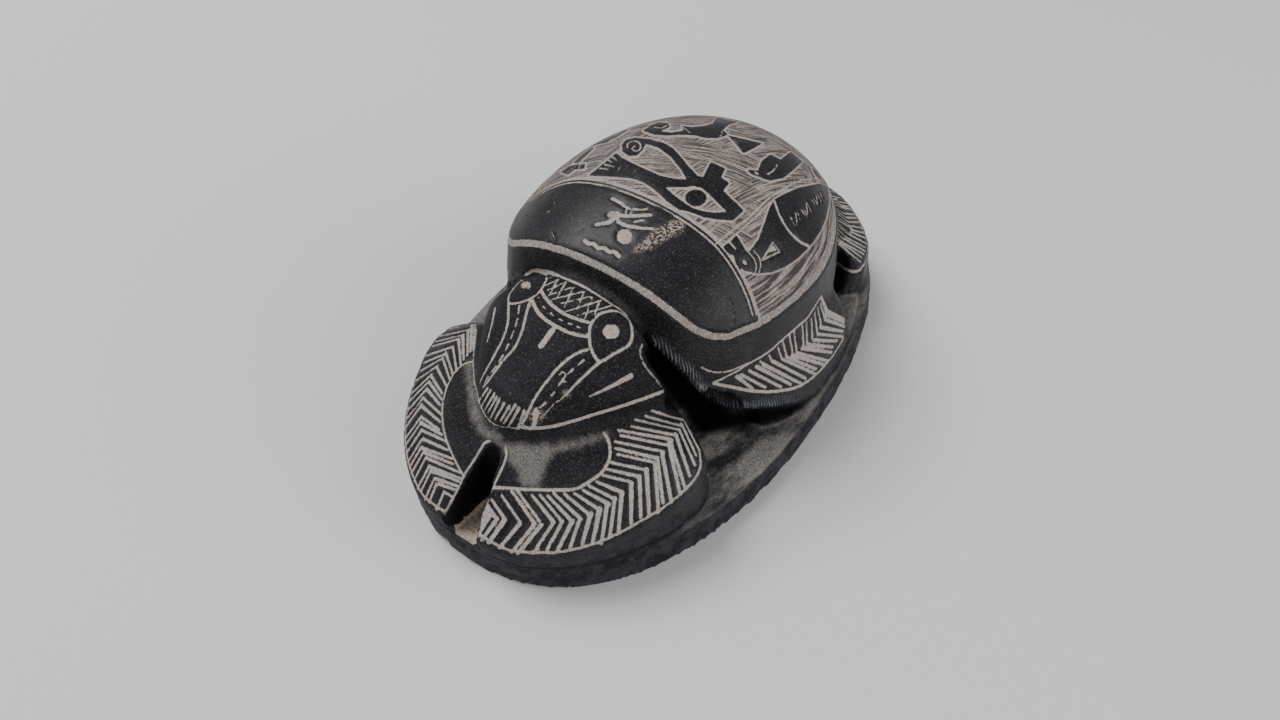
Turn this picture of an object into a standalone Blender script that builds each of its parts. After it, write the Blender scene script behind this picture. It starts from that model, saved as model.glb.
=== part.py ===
"""Scarab amulet carved from one block of dark stone: a dung beetle with folded legs on an oval plate.

Metres, +Z up. The head is at -Y, the beetle's left side at +X, and the plate's underside lies on z = 0.
The origin is under the middle of the plate.
"""

import math

import bmesh
import bpy
import numpy as np

# Overall sizes of the carving.
LENGTH = 0.090  # plate, front to back
WIDTH = 0.0544  # plate, side to side
HEIGHT = 0.0344  # up to the top of the back

# Sizes that can be set by themselves.
PLATE_EDGE = 0.0045  # height of the plate's wall
PLATE_RISE = 0.0018  # how much the plate's top rises from its edge to the beetle
SLOT_WIDTH = 0.0026  # cut between the forelegs, at its inner end
SLOT_MOUTH = 0.0050  # the same cut where it opens at the front
TAIL_NOTCH = 0.0030  # cut between the hind legs
RIM_FLARE = 0.0008  # how far the wall under the back's rim leans out
FLOOR_GAP = 0.0012  # how far the cuts between the legs stop above the plate's edge

# The free forms below are drawn on a grid of these many units, which are millimetres at the real size.
GRID_LENGTH, GRID_WIDTH, GRID_HEIGHT = 90.0, 54.4, 34.4
SIDES = 72  # faces around each form

STONE_COLOUR = (0.022, 0.024, 0.030, 1.0)
STONE_ROUGHNESS = 0.38


def place(x, y, z):
    """A grid point as a point of the part."""
    return (x * WIDTH / GRID_WIDTH, y * LENGTH / GRID_LENGTH, z * HEIGHT / GRID_HEIGHT)


def grid_x(metres):
    return metres * GRID_WIDTH / WIDTH


def grid_z(metres):
    return metres * GRID_HEIGHT / HEIGHT


def angles():
    return np.linspace(0.0, 2 * math.pi, SIDES, endpoint=False)


def signed_power(value, power):
    return np.sign(value) * np.abs(value) ** power


def smooth_closed(points, steps=12):
    """A closed Catmull-Rom curve through the points."""
    points = np.asarray(points, float)
    share = np.linspace(0.0, 1.0, steps, endpoint=False)[:, None]
    curve = []
    for i in range(len(points)):
        a, b, c, d = (points[(i + k) % len(points)] for k in (-1, 0, 1, 2))
        linear = (c - a) * share
        square = (2 * a - 5 * b + 4 * c - d) * share**2
        cubic = (3 * b - a - 3 * c + d) * share**3
        curve.append(b + 0.5 * (linear + square + cubic))
    return np.vstack(curve)


def mirrored(half):
    """The whole outline from its left half, which runs from the front on the axis to the rear on the axis."""
    half = np.asarray(half, float)
    other = half[-2:0:-1].copy()
    other[:, 0] *= -1
    return np.vstack([half, other])


def polar(half, centre):
    """Radius, and each further value, of a mirrored smooth outline at the angles round its centre."""
    curve = smooth_closed(mirrored(half))
    x, y = curve[:, 0], curve[:, 1] - centre
    around = np.arctan2(y, x)
    values = [np.hypot(x, y), *curve[:, 2:].T]
    return [np.interp(angles(), around, value, period=2 * math.pi) for value in values]


def ring(radius, centre, z):
    """One closed ring of grid points at these radii round a centre on the axis."""
    x = radius * np.cos(angles())
    y = centre + radius * np.sin(angles())
    return np.column_stack([x, y, np.broadcast_to(z, x.shape)])


def finish(name, mesh):
    """An object with this mesh, in triangles because the Booleans take flat faces best."""
    bmesh.ops.triangulate(mesh, faces=mesh.faces)
    bmesh.ops.recalc_face_normals(mesh, faces=mesh.faces)
    data = bpy.data.meshes.new(name)
    mesh.to_mesh(data)
    mesh.free()
    return bpy.data.objects.new(name, data)


def loft(name, rings):
    """A closed body through rings from the bottom to the top, with a flat bottom and a fan on top."""
    mesh = bmesh.new()
    rows = [[mesh.verts.new(place(*point)) for point in points] for points in rings]
    for low, high in zip(rows, rows[1:]):
        for i in range(len(low)):
            j = (i + 1) % len(low)
            mesh.faces.new((low[i], low[j], high[j], high[i]))
    mesh.faces.new(rows[0][::-1])
    top = mesh.verts.new(place(*np.mean(rings[-1], axis=0)))
    for i, vertex in enumerate(rows[-1]):
        mesh.faces.new((vertex, rows[-1][(i + 1) % len(rows[-1])], top))
    return finish(name, mesh)


def prism(name, outline, low, high):
    """A closed body with upright walls over a plan outline of grid points."""
    mesh = bmesh.new()
    floor = [mesh.verts.new(place(x, y, low)) for x, y in outline]
    roof = [mesh.verts.new(place(x, y, high)) for x, y in outline]
    for i in range(len(floor)):
        j = (i + 1) % len(floor)
        mesh.faces.new((floor[i], floor[j], roof[j], roof[i]))
    mesh.faces.new(floor[::-1])
    mesh.faces.new(roof)
    return finish(name, mesh)


PLATE_POWER = 2.28  # of the superellipse that the plate's outline is


def plate():
    """The oval plate, with rounded edges and a top that rises to the beetle."""
    half_width, half_length = GRID_WIDTH / 2, GRID_LENGTH / 2
    x = signed_power(np.cos(angles()), 2 / PLATE_POWER) * half_width
    y = signed_power(np.sin(angles()), 2 / PLATE_POWER) * half_length
    edge = grid_z(PLATE_EDGE)
    rounding = 0.18 * edge
    sections = (
        # Inset from the outline, height.
        (0.5, 0.0),
        (0.0, rounding),
        (0.2, edge - rounding),
        (0.9, edge),
        (9.0, edge + grid_z(PLATE_RISE)),
    )
    rings = []
    for inset, z in sections:
        across, along = 1 - inset / half_width, 1 - inset / half_length
        rings.append(np.column_stack([x * across, y * along, np.full_like(x, z)]))
    return loft("plate", rings)


FORELEG_CENTRE = -28.0
FORELEG_CROWN = 19.4
FORELEG_OUTLINE = (
    # Half width, place along the body, height of the rim.
    (0.0, -44.8, 8.6),
    (4.6, -44.6, 8.4),
    (8.3, -43.6, 8.4),
    (11.9, -41.5, 8.7),
    (15.4, -38.3, 9.3),
    (18.2, -34.2, 10.2),
    (20.2, -29.8, 11.2),
    (21.4, -26.2, 11.7),
    (21.5, -23.2, 11.8),
    (20.4, -21.3, 11.9),
    (18.4, -19.8, 12.2),
    (15.2, -18.2, 12.8),
    (11.0, -17.0, 13.6),
    (5.0, -16.2, 14.0),
    (0.0, -16.0, 14.0),
)


def forelegs():
    """Both forelegs as one shoulder that rises from its rim to the foot of the head, fuller at the back."""
    radius, rim = polar(FORELEG_OUTLINE, FORELEG_CENTRE)
    outward = 1 + 0.02 * (1 + np.sin(angles()))
    fullness = 0.95 - 0.2 * np.sin(angles())
    rings = [
        ring(radius * outward, FORELEG_CENTRE, 1.5),
        ring(radius * outward, FORELEG_CENTRE, 5.5),
        ring(radius * 1.008, FORELEG_CENTRE, rim - 0.9),
    ]
    for share in (1.0, 0.965, 0.91, 0.84, 0.76, 0.67, 0.57, 0.46, 0.3):
        rise = (1 - share**1.8) ** fullness
        rings.append(ring(radius * share, FORELEG_CENTRE, rim + (FORELEG_CROWN - rim) * rise))
    return loft("forelegs", rings)


def slot():
    """The cut between the forelegs: round at its inner end and wider at its mouth."""
    inner_end, mouth_at, beyond = -36.6, -GRID_LENGTH / 2, -GRID_LENGTH / 2 - 5.0
    narrow, wide = grid_x(SLOT_WIDTH) / 2, grid_x(SLOT_MOUTH) / 2
    spread = narrow + (wide - narrow) * (inner_end - beyond) / (inner_end - mouth_at)
    turn = np.linspace(0.0, math.pi, 9)
    outline = [(narrow * math.cos(a), inner_end - narrow + narrow * math.sin(a)) for a in turn]
    outline += [(-spread, beyond), (spread, beyond)]
    return prism("slot", outline, grid_z(PLATE_EDGE + 0.5 * FLOOR_GAP), GRID_HEIGHT)


HEAD_CENTRE = -25.0
HEAD_OUTLINE = (
    # Half width, place along the body, how far the edge is rounded down.
    (0.0, -35.2, 2.0),
    (3.3, -34.3, 2.0),
    (6.5, -31.8, 1.8),
    (9.5, -28.0, 1.5),
    (12.3, -23.8, 0.8),
    (13.9, -21.0, 0.4),
    (13.2, -19.8, 0.4),
    (11.4, -19.0, 0.5),
    (9.2, -18.4, 0.6),
    (6.0, -18.0, 0.6),
    (3.0, -17.8, 0.5),
    (0.0, -17.7, 0.4),
)


def head_top(x, y):
    """Height of the head's shield, which slopes down to the front, before its edge is rounded."""
    return 27.5 + 0.47 * np.minimum(y + 20.0, 0.0) - 0.0083 * np.abs(x) ** 2.6


def head():
    radius, rounding = polar(HEAD_OUTLINE, HEAD_CENTRE)
    rings = [ring(radius, HEAD_CENTRE, 11.0)]
    for share in (1.0, 0.965, 0.91, 0.84, 0.72, 0.58, 0.42, 0.22):
        points = ring(radius * share, HEAD_CENTRE, 0.0)
        edge = max(0.0, (share - 0.8) / 0.2) ** 2
        points[:, 2] = head_top(points[:, 0], points[:, 1]) - rounding * edge
        rings.append(points)
    return loft("head", rings)


def neck():
    """A bar between the head and the back, whose rounded top is the groove behind the eyes."""
    half_width, top, middle, power = 9.8, 25.9, 8.0, 3.2
    turn = np.linspace(0.0, 2 * math.pi, 40, endpoint=False)
    x = signed_power(np.cos(turn), 2 / power) * half_width
    z = np.maximum(middle + signed_power(np.sin(turn), 2 / power) * (top - middle), 2.0)
    rings = [np.column_stack([x, np.full_like(x, y), z]) for y in (-10.0, -20.4)]
    return loft("neck", rings)


BACK_CENTRE = 4.0
BACK_OUTLINE = (
    # Half width, place along the body.
    (0.0, -16.6),
    (4.5, -16.5),
    (9.0, -16.3),
    (12.6, -15.8),
    (15.4, -14.4),
    (17.4, -12.1),
    (19.1, -8.7),
    (20.4, -4.6),
    (21.2, 0.0),
    (21.4, 4.0),
    (21.0, 8.4),
    (20.0, 12.8),
    (18.2, 17.2),
    (15.7, 21.4),
    (12.2, 25.6),
    (7.0, 29.3),
    (0.0, 31.0),
)
BALL_CENTRE = (0.0, 1.9, 9.4)  # the back's top is part of this ellipsoid
BALL_RADII = (25.2, 33.0, 25.0)
WALL_HEIGHT = 6.0  # from the rim down to where the legs meet the wall


def ball_top(x, y):
    across = (x - BALL_CENTRE[0]) / BALL_RADII[0]
    along = (y - BALL_CENTRE[1]) / BALL_RADII[1]
    return BALL_CENTRE[2] + BALL_RADII[2] * np.sqrt(1 - across**2 - along**2)


def back_rim(centre):
    """Radius and height of the back's rim at the angles round a centre."""
    (radius,) = polar(BACK_OUTLINE, centre)
    points = ring(radius, centre, 0.0)
    return radius, ball_top(points[:, 0], points[:, 1])


def back():
    """Thorax and wing cases as one dome, with the wall under its rim."""
    radius, rim = back_rim(BACK_CENTRE)
    flare = grid_x(RIM_FLARE)
    rings = [
        ring(radius + 1.5 * flare, BACK_CENTRE, 1.5),
        ring(radius + flare, BACK_CENTRE, rim - WALL_HEIGHT),
        ring(radius + 0.45 * flare, BACK_CENTRE, rim - 0.5 * WALL_HEIGHT),
    ]
    for share in (1.0, 0.975, 0.94, 0.89, 0.82, 0.74, 0.65, 0.55, 0.44, 0.32, 0.17):
        points = ring(radius * share, BACK_CENTRE, 0.0)
        points[:, 2] = ball_top(points[:, 0], points[:, 1])
        rings.append(points)
    return loft("back", rings)


LEG_CENTRE = 6.5
LEG_TOP = 16.4  # the highest that the legs reach up the wall
LEG_OUTLINE = (
    # Half width, place along the body, height of the rim.
    (0.0, -14.0, 16.0),
    (8.0, -14.2, 16.4),
    (13.4, -14.3, 16.4),
    (16.2, -13.3, 15.2),
    (18.6, -11.5, 13.8),
    (20.5, -9.6, 12.7),
    (22.8, -6.5, 11.7),
    (24.3, -3.0, 11.0),
    (25.1, 3.4, 10.5),
    (25.1, 9.6, 10.4),
    (24.0, 15.4, 10.6),
    (22.5, 20.6, 10.8),
    (21.4, 25.0, 10.8),
    (20.1, 28.9, 10.8),
    (18.1, 31.9, 10.8),
    (15.4, 34.7, 10.8),
    (11.9, 37.5, 10.8),
    (7.0, 39.6, 10.6),
    (0.0, 40.6, 10.4),
)


def legs():
    """The folded middle and hind legs as one sloping shelf round the back."""
    radius, rim = polar(LEG_OUTLINE, LEG_CENTRE)
    inner, top = back_rim(LEG_CENTRE)
    inner = inner + grid_x(RIM_FLARE)
    foot = np.minimum(top - WALL_HEIGHT, LEG_TOP)
    rings = [
        ring(radius * 1.02, LEG_CENTRE, 1.7),
        ring(radius * 1.02, LEG_CENTRE, 5.5),
        ring(radius * 1.006, LEG_CENTRE, rim - 0.8),
    ]
    for share in (0.0, 0.12, 0.35, 0.65, 0.92):
        rise = share**0.85
        rings.append(ring(radius + (inner - radius) * share, LEG_CENTRE, rim + (foot - rim) * rise))
    rings.append(ring(inner * 0.7, LEG_CENTRE, foot))
    return loft("legs", rings)


LEG_GAP = (
    # Half width, place along the body: the hollow between the middle and the hind leg.
    (33.0, 8.8),
    (26.2, 9.4),
    (24.3, 11.2),
    (22.2, 11.7),
    (19.6, 10.8),
    (16.6, 13.0),
    (14.6, 16.4),
    (15.2, 19.4),
    (17.4, 21.3),
    (19.2, 21.4),
    (20.8, 22.0),
    (22.0, 24.0),
    (24.8, 26.6),
    (33.0, 28.0),
)


def leg_gap(side):
    outline = [(side * x, y) for x, y in smooth_closed(LEG_GAP, 4)]
    return prism("leg_gap", outline, grid_z(PLATE_EDGE + FLOOR_GAP), GRID_HEIGHT)


HOLLOW_CENTRE = (16.5, -13.2, 5.0)
HOLLOW_RADII = (8.0, 4.4, 10.4)
HOLLOW_ALONG = 0.58  # the hollow follows the back's wall: this much towards the tail for each step outwards
HOLLOW_DOWN = 1.1  # and this much down


def hollow(side):
    """The hollow behind the foreleg, which undercuts the wall of the back and the front of the middle leg."""
    mesh = bmesh.new()
    bmesh.ops.create_uvsphere(mesh, u_segments=20, v_segments=12, radius=1.0)
    for vertex in mesh.verts:
        x, y, z = (c + r * v for c, r, v in zip(HOLLOW_CENTRE, HOLLOW_RADII, vertex.co))
        outwards = x - HOLLOW_CENTRE[0]
        vertex.co = place(side * x, y + HOLLOW_ALONG * outwards, z - HOLLOW_DOWN * outwards)
    return finish("hollow", mesh)


def tail_notch():
    """The cut between the ends of the hind legs, under the tail."""
    half, inner_end, beyond = grid_x(TAIL_NOTCH) / 2, 30.0, GRID_LENGTH / 2 + 5.0
    outline = [(-half, inner_end), (half, inner_end), (2 * half, beyond), (-2 * half, beyond)]
    return prism("tail_notch", outline, grid_z(PLATE_EDGE + FLOOR_GAP), GRID_HEIGHT)


def stone():
    material = bpy.data.materials.new("dark_stone")
    material.use_nodes = True
    shader = material.node_tree.nodes["Principled BSDF"]
    shader.inputs["Base Color"].default_value = STONE_COLOUR
    shader.inputs["Roughness"].default_value = STONE_ROUGHNESS
    shader.inputs["Metallic"].default_value = 0.0
    return material


def collection(name):
    group = bpy.data.collections.new(name)
    bpy.context.scene.collection.children.link(group)
    return group


def hide(obj, group):
    """Puts a cutter, or a form that is joined to another, into its own collection, out of the render."""
    group.objects.link(obj)
    obj.hide_render = True
    obj.display_type = "WIRE"
    return obj


def combine(obj, other, operation):
    modifier = obj.modifiers.new(f"{operation.lower()} {other.name}", "BOOLEAN")
    modifier.operation = operation
    modifier.solver = "EXACT"
    modifier.object = other


def build():
    for obj in list(bpy.data.objects):
        bpy.data.objects.remove(obj, do_unlink=True)
    group = collection("scarab_amulet")
    helpers = collection("cutters")

    shoulders = hide(forelegs(), helpers)
    combine(shoulders, hide(slot(), helpers), "DIFFERENCE")
    shelf = hide(legs(), helpers)
    for side in (1, -1):
        combine(shelf, hide(leg_gap(side), helpers), "DIFFERENCE")
    combine(shelf, hide(tail_notch(), helpers), "DIFFERENCE")
    trunk = hide(back(), helpers)
    for form in (shelf, hide(neck(), helpers)):
        combine(trunk, form, "UNION")
    for side in (1, -1):
        combine(trunk, hide(hollow(side), helpers), "DIFFERENCE")

    scarab = plate()
    scarab.name = "scarab"
    group.objects.link(scarab)
    scarab.data.materials.append(stone())
    for form in (trunk, shoulders, hide(head(), helpers)):
        combine(scarab, form, "UNION")
    scarab.data.shade_smooth()
    scarab.data.set_sharp_from_angle(angle=math.radians(35))


build()
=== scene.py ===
import math

import bmesh
import bpy
import numpy as np
from mathutils import Matrix, Vector, kdtree, noise
from mathutils.bvhtree import BVHTree


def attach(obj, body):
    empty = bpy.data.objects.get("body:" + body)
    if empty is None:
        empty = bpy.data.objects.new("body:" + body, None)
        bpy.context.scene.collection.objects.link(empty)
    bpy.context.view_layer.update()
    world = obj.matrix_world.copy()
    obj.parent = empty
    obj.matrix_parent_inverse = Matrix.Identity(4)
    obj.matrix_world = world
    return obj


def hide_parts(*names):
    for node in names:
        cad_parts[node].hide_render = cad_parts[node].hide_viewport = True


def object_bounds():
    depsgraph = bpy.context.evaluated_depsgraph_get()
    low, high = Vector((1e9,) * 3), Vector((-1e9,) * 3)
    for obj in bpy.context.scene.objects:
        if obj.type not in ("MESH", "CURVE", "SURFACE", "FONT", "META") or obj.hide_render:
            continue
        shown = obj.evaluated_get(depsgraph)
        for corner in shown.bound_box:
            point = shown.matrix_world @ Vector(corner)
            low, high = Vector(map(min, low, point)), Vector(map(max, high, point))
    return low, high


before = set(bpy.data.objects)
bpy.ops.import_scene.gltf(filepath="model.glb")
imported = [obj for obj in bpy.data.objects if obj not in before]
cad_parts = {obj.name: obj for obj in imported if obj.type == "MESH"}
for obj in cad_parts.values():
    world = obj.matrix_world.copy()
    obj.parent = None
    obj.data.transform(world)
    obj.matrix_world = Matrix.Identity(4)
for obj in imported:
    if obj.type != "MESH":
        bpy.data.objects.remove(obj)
cad_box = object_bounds()

# Lengths are in millimetres, unless a name or a comment says otherwise. Blender's own are in metres.
MM = 0.001

# The photograph's viewing angle.
EYE = np.array((49.72, -78.88, 99.68))
TARGET = np.array((5.74, -14.18, 14.0))
LENS_MM, SENSOR_MM = 24.44, 36.0
PICTURE = (1280, 720)
CLIP_START = 5.0

# The fine mesh.
VOXEL = 0.54  # its spacing before it is refined along the strokes
REFINE_WITHIN = 0.26  # how near a stroke's edge it is refined
REFINE_AGAIN_WITHIN, THIN = 0.16, 0.19  # and once more for strokes of less than this half width
REFINE_ABOVE = 4.0  # there is no stroke lower down

# The strokes.
STROKE_DEPTH, SCRAPE_DEPTH = 0.16, 0.06
EDGE_SLOPE = 0.15  # half the width of the slope at their edges
SAMPLE = 0.10  # spacing of the points that stand for a stroke
PIXEL_STEP = 0.7  # and of those of a line of the picture, in pixels
PLAN_STEP = 0.5  # spacing of the points of an outline in plan
LEG_TOP, HEAD_TOP, BACK_TOP = 8.0, 15.0, 21.5  # carving of each is above these heights
LEG_LIMIT = 19.5  # and that of the legs below this one
MOST_STEP = 1.0  # a stroke ends where it would fall this far down a step
LEAST_POINTS = 5  # and is left out if that leaves fewer points
FAR_UP = 60.0  # above all of the stone
FAR = 3.0  # distances to an edge are kept up to this far
RANDOM = np.random.default_rng(7)


def camera_axes():
    back = Vector(EYE) - Vector(TARGET)
    back.normalize()
    right = Vector((0, 0, 1)).cross(back).normalized()
    return np.array(right), np.array(back.cross(right)), np.array(back)


RIGHT, UP, BACK = camera_axes()
FOCAL_PX = LENS_MM / SENSOR_MM * PICTURE[0]


def to_picture(places):
    """Where places are seen, in pixels of the photograph."""
    away = places - EYE
    depth = -away @ BACK
    x = PICTURE[0] / 2 + FOCAL_PX * (away @ RIGHT) / depth
    y = PICTURE[1] / 2 - FOCAL_PX * (away @ UP) / depth
    return np.column_stack([x, y])


def pixels_per_mm(places):
    return FOCAL_PX / np.linalg.norm(places - EYE, axis=-1)


def link(obj):
    bpy.context.scene.collection.objects.link(obj)
    return obj


def add_camera():
    data = bpy.data.cameras.new("camera")
    data.lens, data.sensor_width = LENS_MM, SENSOR_MM
    data.clip_start = CLIP_START * MM
    camera = link(bpy.data.objects.new("camera", data))
    axes = Matrix((RIGHT, UP, BACK)).transposed().to_4x4()
    axes.translation = Vector(EYE) * MM
    camera.matrix_world = axes
    bpy.context.scene.camera = camera


# Curves. A table's line or outline is x, y, x, y and so on.

CURVE_POINTS = 16  # for each given point of a smooth curve, before they are spaced evenly


def pairs(numbers):
    return np.reshape(np.asarray(numbers, float), (-1, 2))


def between(rows, at):
    """Catmull-Rom values between the rows, at these fractions of a row number."""
    rows = np.asarray(rows, float)
    rows = np.concatenate([[2 * rows[0] - rows[1]], rows, [2 * rows[-1] - rows[-2]]])
    at = np.clip(at, 0, len(rows) - 3 - 1e-6)
    first = at.astype(int)
    share = (at - first).reshape((-1,) + (1,) * (rows.ndim - 1))
    a, b, c, d = (rows[first + i] for i in range(4))
    square = (2 * a - 5 * b + 4 * c - d) * share**2
    cubic = (3 * b - a - 3 * c + d) * share**3
    return b + 0.5 * ((c - a) * share + square + cubic)


def smooth(points, step, closed=False):
    """A smooth curve through the points, with points about this far apart."""
    points = pairs(points)
    if closed:
        points = np.vstack([points[-1], points, points[:2]])
    first, last = (1, len(points) - 2) if closed else (0, len(points) - 1)
    return spaced(between(points, np.linspace(first, last, CURVE_POINTS * len(points))), step)


def at_lengths(points, find):
    """Points of a line, at the lengths along it that find gives for its whole length."""
    points = pairs(points)
    run = np.concatenate([[0], np.cumsum(np.linalg.norm(np.diff(points, axis=0), axis=1))])
    at = find(run[-1])
    return np.column_stack([np.interp(at, run, column) for column in points.T])


def spaced(points, step):
    """The same line with points this far apart."""
    return at_lengths(points, lambda whole: np.linspace(0, whole, max(2, int(whole / step) + 1)))


def at_shares(points, shares):
    return at_lengths(points, lambda whole: np.array(shares) * whole)


def offset(curve, by):
    """The same plan line, moved sideways."""
    along = np.gradient(curve, axis=0)
    across = np.column_stack([-along[:, 1], along[:, 0]]) / np.linalg.norm(along, axis=1)[:, None]
    return curve + across * by


def smoothstep(value, low, high):
    share = np.clip((value - low) / (high - low), 0, 1)
    return share * share * (3 - 2 * share)


def polygon_inside(points, outline):
    """How far each point is inside the outline, in its own units; outside is negative."""
    outline = pairs(outline)
    distance = np.full(len(points), np.inf)
    inside = np.zeros(len(points), bool)
    x, y = points.T
    for (ax, ay), (bx, by) in zip(outline, np.roll(outline, -1, axis=0)):
        dx, dy = bx - ax, by - ay
        share = np.clip(((x - ax) * dx + (y - ay) * dy) / (dx * dx + dy * dy), 0, 1)
        distance = np.minimum(distance, np.hypot(x - ax - share * dx, y - ay - share * dy))
        if dy:
            inside ^= ((ay > y) != (by > y)) & (x < ax + dx * (y - ay) / dy)
    return np.where(inside, distance, -distance)


def cast(tree, x, y):
    """The place on the stone that is seen at this pixel."""
    ray = RIGHT * (x - PICTURE[0] / 2) - UP * (y - PICTURE[1] / 2) - BACK * FOCAL_PX
    return tree.ray_cast(Vector(EYE), Vector(ray).normalized())[0]


class Strokes:
    """Points on the stone, each with the stroke's half width there."""

    def __init__(self, tree):
        self.tree = tree
        self.points = []

    def add(self, place, half_width, mirrored):
        x, y, z = place
        self.points.append((x, y, z, half_width))
        if mirrored:
            self.points.append((-x, y, z, half_width))

    def from_above(self, line, width):
        """A stroke along a line of the plan, and its mirror image across the middle."""
        for x, y in spaced(line, SAMPLE):
            hit = self.tree.ray_cast(Vector((x, y, FAR_UP)), Vector((0, 0, -1)))[0]
            if hit is not None and hit.z > LEG_TOP:
                self.add(hit, width / 2, True)

    def from_camera(
        self, line, width, end_width=None, mirrored=False, above=0.0, below=FAR_UP, to_step=False
    ):
        """A stroke along a line of the picture; it and its widths are in pixels.

        What isn't between two heights is left out, and the stroke can end at the first step down.
        """
        line = spaced(line, PIXEL_STEP)
        widths = np.linspace(width, width if end_width is None else end_width, len(line))
        found = []
        for (x, y), wide in zip(line, widths):
            hit = cast(self.tree, x, y)
            if hit is None or not above <= hit.z <= below:
                continue
            if to_step and found and (hit - found[-1][0]).length > MOST_STEP:
                break
            found.append((hit, wide / 2 * (hit - Vector(EYE)).length / FOCAL_PX))
        if to_step and len(found) < LEAST_POINTS:
            return
        for hit, half in found:
            self.add(hit, half, mirrored)

    def inside(self, places):
        """How far each place is inside a stroke, where outside is negative; and its half width."""
        tree = kdtree.KDTree(len(self.points))
        for i, point in enumerate(self.points):
            tree.insert(point[:3], i)
        tree.balance()
        found = [tree.find(place)[1:] for place in places]
        index, distance = np.array(found).T
        half = np.array(self.points)[index.astype(int), 3]
        return np.maximum(half - distance, -FAR), half


# Chevron bands of the legs, read off the photograph in its pixels: at each station along a band, where a
# chevron's inner stroke ends, where its two strokes meet, and where its outer stroke ends.

LEFT_FORELEG = (
    (485, 507, 485, 511, 472, 533), (485, 502, 496, 518, 478, 544), (506, 491, 528, 524, 502, 556),
    (530, 493, 553, 522, 531, 556), (552, 494, 578, 519, 566, 551), (576, 492, 602, 508, 595, 546),
    (595, 483, 620, 493, 616, 535), (609, 468, 641, 475, 643, 520), (614, 448, 658, 458, 664, 509),
    (616, 432, 670, 442, 683, 492), (636, 420, 679, 429, 695, 465), (652, 409, 686, 418, 700, 447),
)
RIGHT_FORELEG = (
    (474, 350, 477, 316, 458, 320), (467, 357, 467, 328, 440, 335), (459, 366, 456, 341, 428, 349),
    (451, 379, 443, 356, 420, 368), (443, 394, 432, 374, 410, 393), (441, 410, 424, 393, 405, 416),
    (440, 428, 420, 412, 402, 438), (446, 442, 421, 430, 402, 460), (455, 462, 422, 449, 405, 478),
    (461, 477, 427, 463, 413, 491), (459, 487, 434, 479, 422, 505), (452, 500, 446, 495, 436, 517),
)
MIDLEG = (
    (733, 378, 734, 378, 748, 390), (744, 372, 745, 373, 775, 389), (757, 364, 760, 366, 797, 385),
    (774, 351, 779, 361, 812, 377), (786, 337, 790, 357, 822, 368), (799, 328, 800, 350, 831, 357),
    (810, 319, 811, 342, 839, 344), (817, 308, 820, 331, 845, 334), (821, 300, 826, 318, 848, 326),
    (823, 296, 829, 308, 846, 318),
)
HINDLEG = (
    (831, 193, 833, 194, 839, 196), (831, 199, 841, 203, 850, 205), (834, 206, 846, 213, 857, 214),
    (835, 212, 850, 223, 862, 223), (836, 220, 852, 231, 867, 236), (836, 226, 847, 237, 868, 248),
    (836, 234, 842, 241, 867, 256), (835, 243, 838, 246, 860, 263), (833, 250, 833, 252, 853, 268),
)
# Stations, count of chevrons, widths of the inner and the outer strokes, and whether the far leg has them.
BANDS = (
    (LEFT_FORELEG, 28, 3.9, 4.6, False), (RIGHT_FORELEG, 26, 3.4, 3.1, False),
    (MIDLEG, 18, 3.4, 4.2, True), (HINDLEG, 18, 2.3, 3.0, True),
)
# How much hand-cut chevrons vary: their place, as a share of their spacing, the end that meets the other
# stroke, in pixels, and their length and width.
PLACE_VARIES, APEX_VARIES, REACH, SWELL = 0.20, 1.1, (0.88, 1.03), (0.80, 1.20)
CHEVRON_TAPER = 0.8
SHORTEST = 3  # in pixels
LEG_LINES = (
    # Width, whether the far leg mirrors it, points.
    (3.4, False, (489, 487, 520, 489, 550, 490, 575, 489, 590, 481, 602, 472, 609, 460, 610, 448, 608, 439,
     604, 433)),
    (2.4, False, (472, 361, 463, 364, 455, 371, 449, 381, 445, 391, 442, 405, 442, 420, 444, 433, 447, 443,
     452, 455, 458, 467, 464, 477)),
    (2.8, False, (505, 446, 506, 455, 503, 465, 497, 478, 492, 488, 488, 498, 484, 512, 478, 523, 472, 536)),
    (3.0, False, (489, 441, 484, 443, 480, 450, 474, 460, 467, 470, 463, 477, 459, 487, 452, 500, 446, 512)),
    (3.4, True, (714, 383, 723, 379, 735, 373, 748, 365, 762, 357, 772, 350, 784, 339, 797, 328, 808, 318,
     816, 306, 822, 296)),
    (2.6, True, (696, 364, 702, 368, 711, 372, 721, 373, 731, 371, 741, 367, 750, 363)),
    (4.2, True, (714, 384, 730, 387, 750, 391, 772, 392, 796, 388, 813, 378, 827, 364, 838, 349, 846, 334,
     850, 318)),
    (2.6, True, (863, 226, 867, 238, 868, 250, 866, 262, 861, 269)),
    (4.0, True, (861, 270, 855, 272, 847, 270, 838, 264)),
    (2.6, True, (830, 192, 833, 205, 835, 215, 836, 230, 835, 245, 833, 252)),
)
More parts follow.
